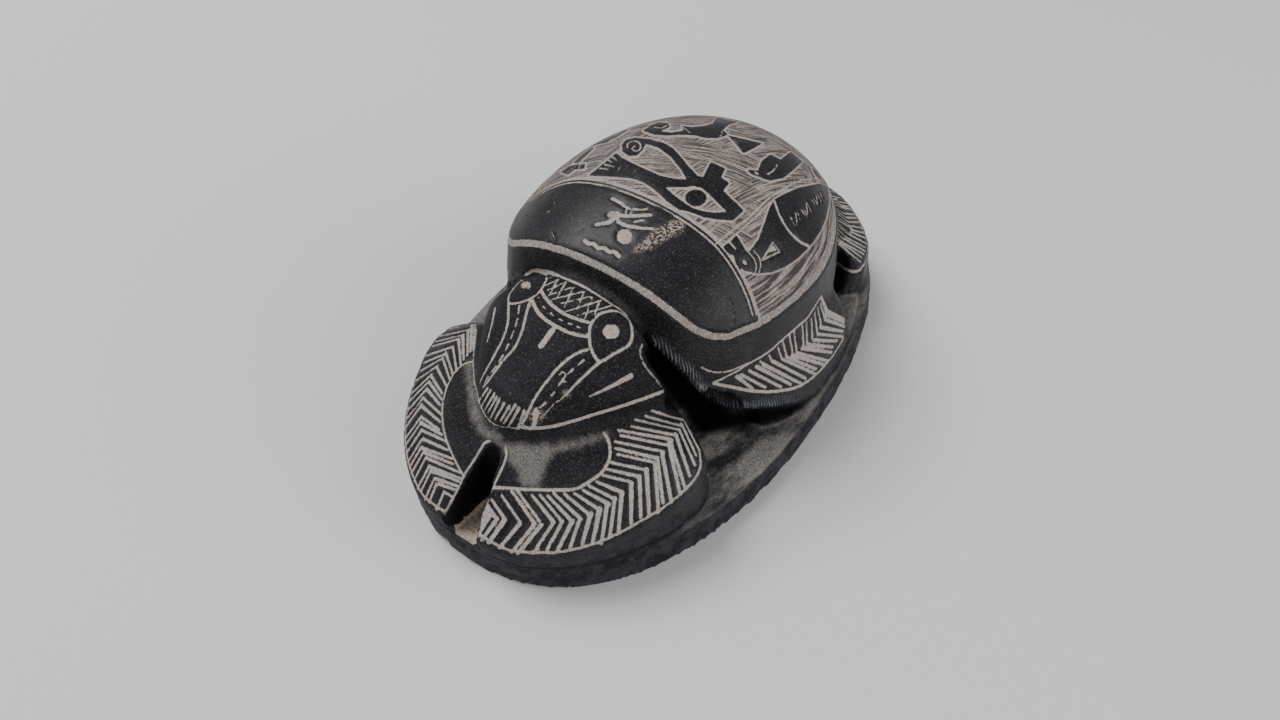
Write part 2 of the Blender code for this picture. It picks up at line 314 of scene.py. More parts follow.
# The rims of the forelegs and the rest of the hindlegs, in plan, for the beetle's left side.
FORE_RIM = (
    1.9, -44.5, 5.9, -44.2, 8.6, -43.3, 12.5, -40.9, 16.0, -37.3, 18.8, -32.7, 20.5, -28.8, 21.2, -25.6,
    20.9, -23.2, 19.3, -21.0,
)
HIND_RIM = (18.2, 31.0, 15.3, 34.2, 12.0, 36.7, 7.4, 38.9, 2.3, 39.9)
HIND_APEX = (12.5, 34.2, 10.3, 35.7, 6.4, 36.9, 2.6, 37.4)
HIND_WALL = (11.7, 28.9, 9.9, 30.2, 6.2, 31.3, 2.6, 32.2)
FORE_RIM_WIDTH, HIND_RIM_WIDTH = 0.40, 0.34
HIND_REST, HIND_WIDTH = 9, 0.42  # the chevrons beyond those that the photograph shows
HIND_REST_FROM, HIND_OUTER_FROM = 0.5, 1.2  # their strokes start at these rows of the lines above


def band(strokes, stations, count, inner_width, outer_width, mirrored):
    """A band of chevrons, as hand-cut strokes that differ a little."""
    where = {"mirrored": mirrored, "above": LEG_TOP, "below": LEG_LIMIT, "to_step": True}
    at = np.arange(count) + 0.5 + RANDOM.uniform(-PLACE_VARIES, PLACE_VARIES, count)
    stations = np.reshape(stations, (-1, 3, 2))
    for inner, apex, outer in between(stations, at / count * (len(stations) - 1)):
        starts = [apex + RANDOM.uniform(-APEX_VARIES, APEX_VARIES, 2) for _ in range(2)]
        reaches, swells = RANDOM.uniform(*REACH, 2), RANDOM.uniform(*SWELL, 2)
        ends, widths = (outer, inner), (outer_width, inner_width)
        for start, end, reach, width, swell in zip(starts, ends, reaches, widths, swells):
            if np.linalg.norm(end - apex) > SHORTEST:
                line = start, start + (end - start) * reach
                strokes.from_camera(line, width * swell, width * CHEVRON_TAPER, **where)


def leg_strokes(strokes):
    for values in BANDS:
        band(strokes, *values)
    for width, mirrored, points in LEG_LINES:
        line = smooth(points, PIXEL_STEP)
        strokes.from_camera(line, width, mirrored=mirrored, above=LEG_TOP, below=LEG_LIMIT)
    rows = np.stack([pairs(HIND_WALL), pairs(HIND_APEX), pairs(HIND_RIM)[1:]], axis=1)
    at = np.linspace(HIND_REST_FROM, len(rows) - 1, HIND_REST)
    for row, (inner, apex, outer) in zip(at, between(rows, at)):
        strokes.from_above((apex, inner), HIND_WIDTH)
        if row > HIND_OUTER_FROM:
            strokes.from_above((apex, outer), HIND_WIDTH)
    strokes.from_above(smooth(FORE_RIM, SAMPLE), FORE_RIM_WIDTH)
    strokes.from_above(smooth(HIND_RIM, SAMPLE), HIND_RIM_WIDTH)


# Lines of the back in plan, for the beetle's left side; the right side mirrors them.

THORAX_LINE = (0.0, -6.1, 4.0, -6.0, 8.0, -5.8, 11.5, -5.8, 14.5, -6.3, 17.0, -7.1, 18.6, -7.9)
BACK_RIM = (
    0.0, -16.4, 4.5, -16.3, 9.0, -15.95, 12.4, -15.5, 14.2, -15.0, 15.8, -14.0, 17.3, -12.3, 18.5, -10.0,
    19.5, -7.5, 20.3, -4.4, 20.9, -0.4, 21.1, 4.0, 20.7, 8.4, 19.6, 12.7, 17.8, 17.0, 15.3, 21.1, 11.9, 25.2,
    7.6, 28.5, 3.6, 30.1, 0.0, 30.5,
)
THORAX_PAIR = ((0.32, 0.36), (-0.32, 0.30))  # how far its two strokes are to the side, and their widths
BACK_RIM_WIDTH = 0.98


def back_lines(strokes):
    thorax = smooth(THORAX_LINE, SAMPLE)
    for by, width in THORAX_PAIR:
        strokes.from_above(offset(thorax, by), width)
    strokes.from_above(smooth(BACK_RIM, SAMPLE), BACK_RIM_WIDTH)


# Carving read off the photograph, enlarged: (left pixel, top pixel, enlargement) of each part of it.

HEAD_VIEW = (430.0, 260.0, 7.0)
BACK_VIEW = (500.0, 105.0, 5.5)


def in_picture(view, points):
    """Points of an enlarged part of the photograph, in the photograph's own pixels."""
    left, top, scale = view
    return pairs(points) / scale + (left, top)


def draw(strokes, view, points, start, end, above, closed=False):
    """A stroke along points of an enlarged part of the photograph, with widths in its pixels."""
    line = in_picture(view, points)
    if len(line) > 2:
        line = smooth(line, PIXEL_STEP, closed)
    strokes.from_camera(line, start / view[2], end / view[2], above=above)


HEAD_LINES = (
    # Width at the start, width at the end, closed, points.
    (26, 26, False, (640, 140, 680, 95, 740, 72, 830, 85, 930, 120, 1040, 165, 1150, 225, 1250, 290,
     1340, 350, 1395, 410, 1417, 480)),
    (24, 24, True, (1290, 352, 1200, 370, 1148, 412, 1118, 480, 1116, 560, 1135, 640, 1192, 708, 1290, 655,
     1388, 598, 1416, 530, 1408, 440, 1350, 375)),
    (20, 20, True, (810, 105, 790, 180, 740, 240, 660, 285, 555, 300, 550, 245, 590, 185, 650, 125,
     710, 80)),
    (26, 26, False, (775, 205, 800, 255, 860, 320, 950, 380, 1040, 415, 1110, 435)),
    (28, 26, False, (715, 285, 745, 350, 800, 410, 870, 455, 960, 500, 1040, 525, 1110, 535)),
    (46, 46, False, (855, 490, 775, 598)),
    (24, 22, False, (1100, 628, 1030, 650, 960, 695, 880, 770, 800, 870, 740, 950, 700, 1030, 670, 1100,
     645, 1145)),
    (26, 9, False, (1190, 715, 1130, 765, 1060, 830, 1000, 890, 955, 940, 880, 1000, 830, 1050, 800, 1090)),
    (24, 20, False, (545, 300, 545, 370, 540, 440, 510, 540, 460, 640, 410, 730, 370, 800, 340, 870)),
    (26, 18, False, (700, 285, 680, 340, 660, 420, 640, 500, 590, 610, 520, 690, 450, 780, 400, 850,
     365, 890)),
    (40, 34, False, (745, 1050, 735, 1110, 725, 1165)),
    (34, 30, False, (630, 1172, 720, 1182, 850, 1170, 1000, 1132, 1150, 1085, 1300, 1040, 1450, 990,
     1560, 950, 1645, 918)),
    (20, 16, False, (1490, 590, 1475, 640, 1490, 710, 1530, 770, 1580, 830, 1625, 885)),
    (12, 12, False, (372, 340, 335, 430, 315, 560, 300, 700, 305, 830, 325, 930, 345, 1010, 400, 1110,
     480, 1165, 630, 1185)),
    (42, 14, False, (1408, 812, 1260, 890, 1115, 958)), (26, 18, False, (450, 335, 430, 440, 395, 570)),
    (15, 12, False, (905, 800, 925, 784, 948, 796, 940, 822, 920, 846, 952, 852)),
)
HEAD_DASHES = (
    (30, 16, (755, 262, 790, 322, 850, 376, 930, 425, 1000, 452, 1060, 478), 6),
    (55, 20, (622, 318, 605, 430, 570, 530, 520, 640, 470, 730, 420, 790, 375, 865), 7),
    (48, 22, (1075, 700, 960, 800, 880, 905, 815, 990, 770, 1035), 5),
)
# The comb at the front of the head and the lattice between the eyes, in the photograph's own pixels.
COMB = (
    (487, 388, 478, 401), (490, 390, 481, 406), (494, 393, 484, 410), (496, 397, 487, 413),
    (499, 399, 490, 418), (504, 403, 494, 420), (509, 406, 500, 421), (515, 405, 503, 424),
    (519, 408, 508, 427), (524, 411, 517, 429),
)
LATTICE = (
    (558, 278, 549, 295), (566, 281, 557, 297), (574, 286, 564, 307), (584, 291, 576, 311),
    (592, 297, 585, 318), (599, 302, 594, 316), (553, 276, 545, 279), (558, 279, 545, 285),
    (566, 281, 547, 290), (574, 286, 551, 294), (583, 291, 552, 299), (591, 296, 561, 303),
    (601, 300, 566, 311), (612, 305, 578, 315),
)
COMB_WIDTH, LATTICE_WIDTH, SHORT_TAPER = 3.4, 2.4, 0.7
DASH_TAPER = 0.6
EYE_SPOTS = (((1268, 500), 62, 50), ((670, 172), 38, 27))
# A spot's strokes: their count, the share of the height that they cover, and their distance from the edge and
# their width, as shares of half the height.
SPOT_STROKES, SPOT_COVER, SPOT_INSET, SPOT_WIDTH = 7, 0.78, 0.22, 0.44
LEAST_REACH = 0.5


def spot(strokes, view, centre, half_width, half_height):
    """A filled oval, as short strokes across it."""
    for share in np.linspace(-SPOT_COVER, SPOT_COVER, SPOT_STROKES):
        reach = max(LEAST_REACH, half_width * math.sqrt(1 - share**2) - SPOT_INSET * half_height)
        y = centre[1] + share * half_height
        line = in_picture(view, ((centre[0] - reach, y), (centre[0] + reach, y)))
        strokes.from_camera(line, SPOT_WIDTH * half_height / view[2])


def head_strokes(strokes):
    scale = HEAD_VIEW[2]
    for start, end, closed, points in HEAD_LINES:
        draw(strokes, HEAD_VIEW, points, start, end, HEAD_TOP, closed)
    for length, width, points, count in HEAD_DASHES:
        line = smooth(in_picture(HEAD_VIEW, points), PIXEL_STEP)
        half = length / scale / 2 / (len(line) * PIXEL_STEP)
        for share in np.linspace(half, 1 - half, count):
            dash = at_shares(line, (share - half, share + half))
            strokes.from_camera(dash, width / scale, DASH_TAPER * width / scale, above=HEAD_TOP)
    for lines, width in ((COMB, COMB_WIDTH), (LATTICE, LATTICE_WIDTH)):
        for line in lines:
            strokes.from_camera(line, width, SHORT_TAPER * width, above=HEAD_TOP)
    for values in EYE_SPOTS:
        spot(strokes, HEAD_VIEW, *values)


# Marks on the front of the back: widths at the start and the end, and points.
THORAX_LINES = (
    (24, 14, (618, 512, 660, 535, 700, 560, 750, 572, 805, 570)), (50, 40, (610, 600, 640, 595)),
    (36, 30, (600, 640, 645, 615)), (26, 24, (645, 605, 740, 607, 828, 602)), (26, 26, (530, 655, 600, 645)),
    (24, 20, (650, 640, 700, 662, 760, 672, 840, 678)), (18, 14, (740, 640, 790, 630)),
    (10, 10, (700, 562, 690, 592)), (10, 10, (722, 570, 716, 600)),
    (24, 24, (462, 742, 490, 762, 512, 760, 540, 785, 570, 785, 600, 806, 628, 806, 656, 832)),
    (6, 4, (290, 505, 300, 560)), (6, 4, (262, 590, 280, 570)), (6, 4, (285, 700, 300, 745)),
    (6, 4, (425, 700, 455, 685)), (6, 4, (1250, 1070, 1280, 1110, 1285, 1160)),
    (6, 4, (1275, 1165, 1290, 1190)),
)
THORAX_SPOT = ((685, 722), 44, 42)
SCATTER = (
    728, 805, 775, 760, 850, 690, 920, 650, 985, 622, 1022, 650, 1000, 700, 900, 742, 830, 790, 765, 806,
)

# Figures that stay dark on the scraped ground of the wing cases.
FIGURES = (
    # Eye motif.
    (487, 387, 560, 328, 640, 262, 664, 285, 720, 315, 800, 352, 880, 387, 960, 404, 1030, 410, 990, 345,
     940, 285, 870, 232, 800, 212, 785, 245, 755, 275, 710, 280, 675, 255, 668, 220, 690, 190, 740, 178,
     800, 184, 880, 195, 950, 235, 1000, 290, 1040, 340, 1090, 390, 1118, 396, 1140, 350, 1160, 312,
     1240, 348, 1215, 398, 1262, 428, 1228, 470, 1290, 530, 1342, 580, 1282, 634, 1200, 630, 1120, 616,
     1050, 588, 980, 572, 920, 530, 870, 480, 800, 430, 740, 405, 680, 398, 600, 392),
    # Bird.
    (785, 140, 830, 108, 870, 92, 925, 98, 935, 118, 905, 132, 880, 142, 940, 150, 1010, 140, 1000, 112,
     1050, 120, 1120, 114, 1170, 100, 1192, 66, 1318, 92, 1260, 106, 1225, 135, 1255, 160, 1200, 180,
     1130, 180, 1070, 165, 1010, 162, 930, 166, 850, 162),
    (1255, 166, 1350, 188, 1445, 210, 1340, 265, 1300, 215),
    # Vessel.
    (1360, 355, 1420, 360, 1442, 305, 1490, 270, 1545, 300, 1600, 255, 1665, 310, 1610, 360, 1560, 400,
     1480, 415, 1420, 392, 1385, 380),
    # Lying animal.
    (1228, 776, 1272, 748, 1300, 716, 1332, 765, 1365, 818, 1422, 740, 1452, 660, 1486, 560, 1510, 520,
     1562, 490, 1640, 455, 1762, 430, 1806, 450, 1813, 530, 1795, 620, 1765, 690, 1730, 745, 1690, 792,
     1640, 842, 1570, 890, 1490, 920, 1420, 926, 1350, 912, 1300, 882, 1270, 832),
    # Bits at the left flank.
    (500, 222, 560, 192, 640, 160, 690, 135, 720, 128, 640, 176, 580, 204),
    (330, 368, 380, 332, 470, 322, 462, 348, 410, 352, 372, 382),
    (400, 318, 440, 276, 500, 236, 520, 232, 470, 280, 430, 318),
    # Beyond the light band, at the edge.
    (1712, 340, 1735, 352, 1775, 402, 1762, 412, 1735, 385),
)
LIGHT_IN_FIGURES = (
    # The eye's white.
    (905, 452, 960, 450, 1010, 452, 1060, 443, 1112, 455, 1152, 490, 1200, 540, 1252, 588, 1180, 592,
     1110, 582, 1050, 562, 1000, 528, 950, 488),
    (1248, 815, 1288, 828, 1302, 882, 1272, 852), (1468, 812, 1504, 768, 1528, 800),
)
PUPIL = ((1078, 510), 58, 46)
FIGURE_LINES = (
    (12, 12, (700, 232, 702, 208, 735, 194, 768, 208, 770, 238, 745, 250, 725, 236, 740, 222)),
    (9, 9, (845, 190, 950, 215, 1060, 255, 1160, 300, 1270, 360, 1370, 420, 1460, 475)),
    (12, 12, (1190, 760, 1290, 680, 1390, 600, 1470, 520, 1560, 460, 1640, 420, 1740, 400)),
    (12, 12, (1225, 772, 1310, 700, 1400, 620, 1490, 530)), (10, 10, (1000, 115, 1025, 130, 1045, 148)),
    (10, 10, (1228, 128, 1212, 168)), (10, 10, (1260, 135, 1246, 172)),
    (5, 3, (1282, 178, 1340, 198, 1392, 204)), (5, 3, (1284, 186, 1322, 212, 1362, 228)),
    (5, 3, (1286, 192, 1310, 222, 1340, 242)), (12, 10, (1475, 378, 1505, 358, 1528, 326)),
    (20, 18, (1408, 370, 1420, 376)),
    (17, 21, (1510, 522, 1530, 580, 1560, 642, 1600, 700, 1650, 748, 1700, 775)),
    (10, 10, (1398, 800, 1428, 838, 1436, 880, 1428, 922)),
    (10, 10, (1372, 812, 1402, 850, 1412, 888, 1404, 922)), (13, 13, (1444, 852, 1506, 752)),
    (13, 13, (1506, 752, 1542, 805)), (13, 13, (1542, 805, 1444, 852)), (26, 22, (1345, 862, 1352, 868)),
    (14, 12, (1262, 752, 1300, 792)), (12, 10, (545, 300, 572, 318)), (12, 10, (580, 290, 612, 312)),
    (12, 10, (612, 280, 640, 300)), (12, 10, (548, 345, 600, 352)), (12, 10, (575, 325, 625, 335)),
    (6, 6, (665, 330, 650, 352)), (6, 6, (692, 335, 675, 365)), (6, 6, (745, 355, 722, 388)),
    (14, 12, (850, 118, 890, 122, 915, 108)), (12, 10, (370, 362, 395, 345)), (10, 10, (430, 345, 440, 325)),
    (10, 8, (500, 222, 580, 204, 660, 172)),
)
TEETH = (
    (791, 217, 796, 226), (796, 213, 798, 224), (798, 211, 801, 221), (802, 210, 806, 215),
    (804, 208, 808, 216), (807, 203, 808, 214), (808, 203, 812, 212), (812, 199, 816, 205),
    (814, 198, 818, 204), (817, 195, 818, 205), (818, 193, 822, 202), (821, 192, 823, 198),
)
TOOTH_WIDTH, TOOTH_TAPER = 1.9, 0.8


def back_strokes(strokes):
    for start, end, points in THORAX_LINES + FIGURE_LINES:
        draw(strokes, BACK_VIEW, points, start, end, BACK_TOP)
    spot(strokes, BACK_VIEW, *THORAX_SPOT)
    for line in TEETH:
        strokes.from_camera(line, TOOTH_WIDTH, TOOTH_TAPER * TOOTH_WIDTH, above=BACK_TOP)


# The stone.

PUSH, PULL = 0.55, -0.52  # an inward and an outward step keep the stone from shrinking
FIRST_ROUNDS, EDGE_ROUNDS = 4, 20
EVEN_NORMALS = 3  # averages over neighbours before the edges are looked for
SHARP_NORMAL = (0.90, 0.985)  # an edge is where the mean normal is shorter than this
SPREAD_SHARP, HELD_AT_EDGES = 2, 0.85
AT_BASE, UNDERSIDE = 0.5, 0.25  # heights in voxels below which places stay on the ground


def fine_copy(node):
    """The CAD solid's surface as an even fine mesh of quads."""
    copy = node.copy()
    copy.data = node.data.copy()
    link(copy)
    remesh = copy.modifiers.new("even", "REMESH")
    remesh.mode = "VOXEL"
    remesh.voxel_size = VOXEL * MM
    graph = bpy.context.evaluated_depsgraph_get()
    mesh = bpy.data.meshes.new_from_object(copy.evaluated_get(graph))
    bpy.data.objects.remove(copy)
    bm = bmesh.new()
    bm.from_mesh(mesh)
    for vertex in bm.verts:
        vertex.co /= MM
    return bm


def places_of(bm):
    return np.array([vertex.co[:] for vertex in bm.verts])


def normals_of(bm):
    bm.normal_update()
    return np.array([vertex.normal[:] for vertex in bm.verts])


def put_places(bm, places):
    for vertex, place in zip(bm.verts, places):
        vertex.co = place


class Net:
    """The mesh's edges, for averages over neighbours."""

    def __init__(self, bm):
        bm.verts.index_update()
        self.ends = np.array([[v.index for v in edge.verts] for edge in bm.edges])
        self.size = len(bm.verts)
        self.count = np.bincount(self.ends.ravel(), minlength=self.size)

    def average(self, values):
        """The mean over each vertex's neighbours, of one number or of a vector."""
        columns = values.reshape(self.size, -1).T
        total = np.empty((len(columns), self.size))
        for row, column in zip(total, columns):
            row[:] = np.bincount(self.ends[:, 0], column[self.ends[:, 1]], self.size)
            row += np.bincount(self.ends[:, 1], column[self.ends[:, 0]], self.size)
        return (total / self.count).T.reshape(values.shape)


def relax(places, net, rounds, strength):
    """Smooths the places, apart from the base's."""
    base = places[:, 2] < AT_BASE * VOXEL
    for i in range(rounds):
        step = PULL if i % 2 else PUSH
        places = places + step * strength * (net.average(places) - places)
        places[base, 2] = 0
    return places


def polish(bm):
    """Smooths the flats of the CAD solid away and eases its edges, as a hand-polished stone's are."""
    net = Net(bm)
    places = relax(places_of(bm), net, FIRST_ROUNDS, 1.0)
    put_places(bm, places)
    mean = normals_of(bm)
    for _ in range(EVEN_NORMALS):
        mean = net.average(mean)
    sharp = 1 - smoothstep(np.linalg.norm(mean, axis=1), *SHARP_NORMAL)
    for _ in range(SPREAD_SHARP):
        sharp = np.maximum(sharp, net.average(sharp))
    put_places(bm, relax(places, net, EDGE_ROUNDS, (1 - HELD_AT_EDGES * sharp)[:, None]))


def flatten_underside(bm):
    """Replaces the many faces under the plate by one flat set."""
    bottom = [f for f in bm.faces if all(v.co.z < UNDERSIDE * VOXEL for v in f.verts)]
    bmesh.ops.delete(bm, geom=bottom, context="FACES")
    edges = [e for e in bm.edges if e.is_boundary]
    bmesh.ops.holes_fill(bm, edges=edges, sides=0)


def refine(bm, near):
    """Halves the mesh's edges where near holds at both ends."""
    bm.verts.ensure_lookup_table()
    edges = [e for e in bm.edges if near[e.verts[0].index] and near[e.verts[1].index]]
    bmesh.ops.subdivide_edges(bm, edges=edges, cuts=1, use_grid_fill=True)


# The scraped ground's distance from the middle of the front line, and the place where its sides begin.
GROUND_GAP, GROUND_FRONT = 0.42, -8.6
# Where the back turns away from the camera, a short way in the picture is a long way on the stone.
GRAZING, LEAST_SHARE = 3, 0.05
# Figures end on the far side: the cosine, the millimetres for a cosine of 1, and their factor beyond the end.
FAR_COSINE, FAR_SLOPE, FAR_STEEPER = 0.10, 20, 15


def elytra_inside(places):
    """How far each place is inside the scraped ground of the wing cases, in plan."""
    thorax, rim = smooth(THORAX_LINE, PLAN_STEP), smooth(BACK_RIM, PLAN_STEP)
    rim = rim[rim[:, 1] > GROUND_FRONT]
    half = np.vstack([offset(thorax, GROUND_GAP), rim[1:]])
    outline = np.vstack([half, half[-2:0:-1] * (-1, 1)])
    return polygon_inside(places[:, :2], outline)


def ground(places, facing):
    """How far each place is inside a scraped area; its place in the back's view, and the scale there."""
    inside = elytra_inside(places)
    low = places[:, 2] < BACK_TOP
    inside[low] = -FAR
    left, top, scale = BACK_VIEW
    enlarged = (to_picture(places) - (left, top)) * scale
    per_mm = scale * pixels_per_mm(places) * np.clip(GRAZING * facing, LEAST_SHARE, 1)
    reach = (facing + FAR_COSINE) * FAR_SLOPE
    reach = np.where(reach < 0, FAR_STEEPER * reach, reach)

    def within(outline):
        return np.minimum(polygon_inside(enlarged, outline) / per_mm, reach)

    for outline in FIGURES:
        inside = np.minimum(inside, -within(outline))
    for outline in LIGHT_IN_FIGURES:
        inside = np.maximum(inside, np.where(low, -FAR, within(outline)))
    centre, wide, high = PUPIL
    pupil = (1 - np.linalg.norm((enlarged - centre) / (wide, high), axis=1)) * high / per_mm
    inside = np.minimum(inside, np.where(reach > 0, -pupil, FAR))
    return np.clip(inside, -FAR, FAR), enlarged, per_mm


HOLLOW_ROUNDS, HOLLOW_KEPT = 5, 0.4
SKY_RAYS, SKY_REACH = 10, 6.0
RAY_START = 0.15  # off the surface


def hollowness(net, places, normals):
    """How much each place lies in a hollow (positive) or on an edge (negative)."""
    value = ((net.average(places) - places) * normals).sum(1) / VOXEL
    for _ in range(HOLLOW_ROUNDS):
        value = HOLLOW_KEPT * value + (1 - HOLLOW_KEPT) * net.average(value)
    return value


def shading(tree, places, normals):
    """The share of the sky above each place that the stone itself hides within a few millimetres."""
    turns = RANDOM.uniform(0, 2 * math.pi, SKY_RAYS)
    heights = (np.arange(SKY_RAYS) + 0.5) / SKY_RAYS
    flat = np.sqrt(1 - heights**2)
    rays = np.column_stack([flat * np.cos(turns), flat * np.sin(turns), heights])
    hidden = np.zeros(len(places))
    for i, (place, normal) in enumerate(zip(places, normals)):
        start = Vector(place + normal * RAY_START)
        for ray in rays:
            if tree.ray_cast(start, Vector(ray + normal), SKY_REACH)[0] is not None:
                hidden[i] += 1
    return hidden / SKY_RAYS


# The recess beside the head, the shadow that goes on below the midleg, which is painted dark, and the ribbed
# lip above both, in the photograph's pixels; both sides have them.

RECESS = (
    643, 352, 647, 346, 654, 348, 664, 357, 675, 369, 687, 385, 697, 397, 711, 405, 730, 410, 765, 410,
    800, 405, 790, 412, 757, 420, 715, 428, 699, 432, 690, 420, 672, 397, 660, 380, 648, 364,
)
SHADOW = (
    643, 352, 646, 345, 652, 343, 660, 348, 669, 356, 677, 366, 690, 381, 703, 393, 719, 404, 732, 409,
    750, 410, 772, 408, 794, 404, 816, 396, 834, 382, 842, 368, 848, 374, 838, 390, 820, 404, 798, 414,
    777, 421, 757, 426, 735, 430, 715, 433, 699, 434, 690, 420, 672, 397, 660, 380, 648, 364,
)
LIP = (
    656, 342, 662, 346, 669, 353, 679, 362, 690, 372, 697, 382, 705, 391, 715, 397, 727, 402, 742, 404,
    762, 403, 785, 400, 805, 394, 824, 381, 838, 364,
)
RECESS_DEPTH, LIP_HEIGHT, LIP_RADIUS = 1.3, 0.55, 1.0
RECESS_BLUR, RECESS_HEIGHTS = (-0.3, 1.6), (5.4, 8.0)
SHADOW_BLUR, SHADOW_HEIGHTS = (-0.9, 0.7), (4.9, 6.0)
LIP_ABOVE, LIP_FROM, LIP_PAINT = 6.0, 0.1, (0.3, 1.1)
# Both outlines hold only from this far to the side and between these places along the beetle.
BESIDE, BESIDE_FRONT, BESIDE_BACK = 6, -24, 17
SIDE_UNEVEN, SIDE_SCALE, SIDE_NOISE = 0.45, 0.30, (0.8, 2.1, 3)
SIDE_LOW, SIDE_HIGH, SIDE_UPRIGHT = 0.05, 5.5, 0.7  # heights, and what its normal's upward part stays below
SLOT_HALF, SLOT_FROM = 2.7, 29.0  # the slots between the forelegs and between the hindlegs
# SLOT_DARK is how dark the slots' walls are painted as shade.
SLOT_LOW, SLOT_HIGH, SLOT_UPRIGHT, SLOT_DARK = 5.6, 16.0, 0.6, 0.72
UPRIGHT_BLUR = 0.3
RIB = 0.40  # spacing of the lip's ribs
SEAM = 5.1  # height of the crease between the plate's rough side and the walls of the legs


def seen_inside(outline, places):
    """How far each place is inside an outline of the picture."""
    return polygon_inside(to_picture(places), outline) / pixels_per_mm(places)


def form_relief(bm, tree):
    """Shapes the recess beside the head, the lip above it and the uneven side of the plate, and gives the
    painted shadow below the lip and on the slot walls.
    """
    places, normals = places_of(bm), normals_of(bm)
    height = places[:, 2]
    lip = Strokes(tree)
    lip.from_camera(smooth(LIP, PIXEL_STEP), 1.0, mirrored=True, above=LIP_ABOVE)
    off_lip = -lip.inside(places)[0]

    def beside_head(outline):
        """How far each place is inside the outline, or inside its mirror image on the far side."""
        found = np.full(len(places), -FAR)
        for at in (places, places * (-1, 1, 1)):
            inside = seen_inside(outline, at)
            inside[(at[:, 0] < BESIDE) | (at[:, 1] < BESIDE_FRONT) | (at[:, 1] > BESIDE_BACK)] = -FAR
            found = np.maximum(found, inside)
        return found

    deep = smoothstep(beside_head(RECESS), *RECESS_BLUR) * smoothstep(height, *RECESS_HEIGHTS)
    # Painted shadow: below the midleg's lip and on the slots' walls the colour is made dark, kept as the
    # recess measure.
    dark = smoothstep(beside_head(SHADOW), *SHADOW_BLUR) * smoothstep(height, *SHADOW_HEIGHTS)
    in_slot = (np.abs(places[:, 0]) < SLOT_HALF) & (np.abs(places[:, 1]) > SLOT_FROM)
    in_slot &= (height > SLOT_LOW) & (height < SLOT_HIGH)
    slot_wall = smoothstep(SLOT_UPRIGHT - normals[:, 2], 0, UPRIGHT_BLUR) * in_slot
    dark = np.maximum(dark, SLOT_DARK * slot_wall)
    raised = LIP_HEIGHT * (1 - smoothstep(off_lip, LIP_FROM, LIP_RADIUS))
    moved = places + normals * (raised - RECESS_DEPTH * deep * (raised < LIP_FROM))[:, None]
    side = smoothstep(SIDE_UPRIGHT - np.abs(normals[:, 2]), 0, UPRIGHT_BLUR)
    side *= (height < SIDE_HIGH) * (height > SIDE_LOW)
    for i in np.flatnonzero(side):
        rough = noise.fractal(Vector(places[i]) * SIDE_SCALE, *SIDE_NOISE)
        moved[i, :2] -= normals[i, :2] * side[i] * SIDE_UNEVEN * (0.5 + 0.5 * rough)
    put_places(bm, moved)
    return {"recess": dark, "lip": 1 - smoothstep(off_lip, *LIP_PAINT)}


# Dusty patches of the forelegs' crescent, in the photograph's pixels, and the slot's floor, in plan.

DUSTY = (
    (503, 443, 530, 446, 560, 444, 590, 438, 608, 431, 606, 437, 580, 446, 556, 452, 545, 464, 538, 486,
     524, 488, 516, 470, 507, 456),
    (466, 364, 472, 360, 474, 385, 478, 408, 486, 426, 500, 437, 498, 443, 484, 436, 472, 420, 468, 395),
)
SLOT_FLOOR = (-2.6, -46.0, 2.6, -46.0, 2.4, -38.0, -2.4, -38.0)
# Small specks on the head: their pixel and their radius in millimetres.
RUSTY = ((566, 394, 0.35), (537, 416, 0.85))
SCATTER_ABOVE = 24
DUSTY_BACK = -14  # the dusty patches are in front of this place
FLOOR_BELOW, FLOOR_UP = 8, 0.5


def add_layers(bm, measures):
    """Stores numbers on the mesh for its material, one layer for each name."""
    for name, values in measures.items():
        layer = bm.verts.layers.float.new(name)
        for vertex, value in zip(bm.verts, values):
            vertex[layer] = value


def facing_of(places, normals):
    """The cosine between each place's normal and the way to the camera."""
    towards = EYE - places
    towards /= np.linalg.norm(towards, axis=1)[:, None]
    return (normals * towards).sum(1)


def refine_along(bm, strokes):
    """Refines the mesh near the edges of strokes and of the scraped ground, then near thin strokes again."""
    for within, again in ((REFINE_WITHIN, False), (REFINE_AGAIN_WITHIN, True)):
        places = places_of(bm)
        cut, half = strokes.inside(places)
        near = np.abs(cut) < within
        if again:
            near &= half < THIN
        else:
            near |= np.abs(ground(places, facing_of(places, normals_of(bm)))[0]) < within
        refine(bm, near & (places[:, 2] > REFINE_ABOVE))


def carved_measures(tree, strokes, places, normals):
    """How far each place is inside each kind of carving or patch, and its stroke's half width."""
    cut, half = strokes.inside(places)
    facing = facing_of(places, normals)
    scraped, enlarged, per_mm = ground(places, facing)
    scatter = polygon_inside(enlarged, SCATTER) / per_mm
    scatter = np.where((places[:, 2] > SCATTER_ABOVE) & (facing > 0), scatter, -FAR)
    for x, y, radius in RUSTY:
        scatter = np.maximum(scatter, radius - np.linalg.norm(places - np.array(cast(tree, x, y)), axis=1))
    dusty = np.maximum(*(seen_inside(outline, places) for outline in DUSTY))
    dusty[(places[:, 1] > DUSTY_BACK) | (facing < 0)] = -FAR
    floor = polygon_inside(places[:, :2], SLOT_FLOOR)
    floor[(places[:, 2] > FLOOR_BELOW) | (normals[:, 2] < FLOOR_UP)] = -FAR
    measures = {"cut": cut, "half": half, "scraped": scraped}
    measures.update(scatter=scatter, dusty=dusty, slot_floor=floor)
    return {name: np.clip(values, -FAR, FAR) for name, values in measures.items()}


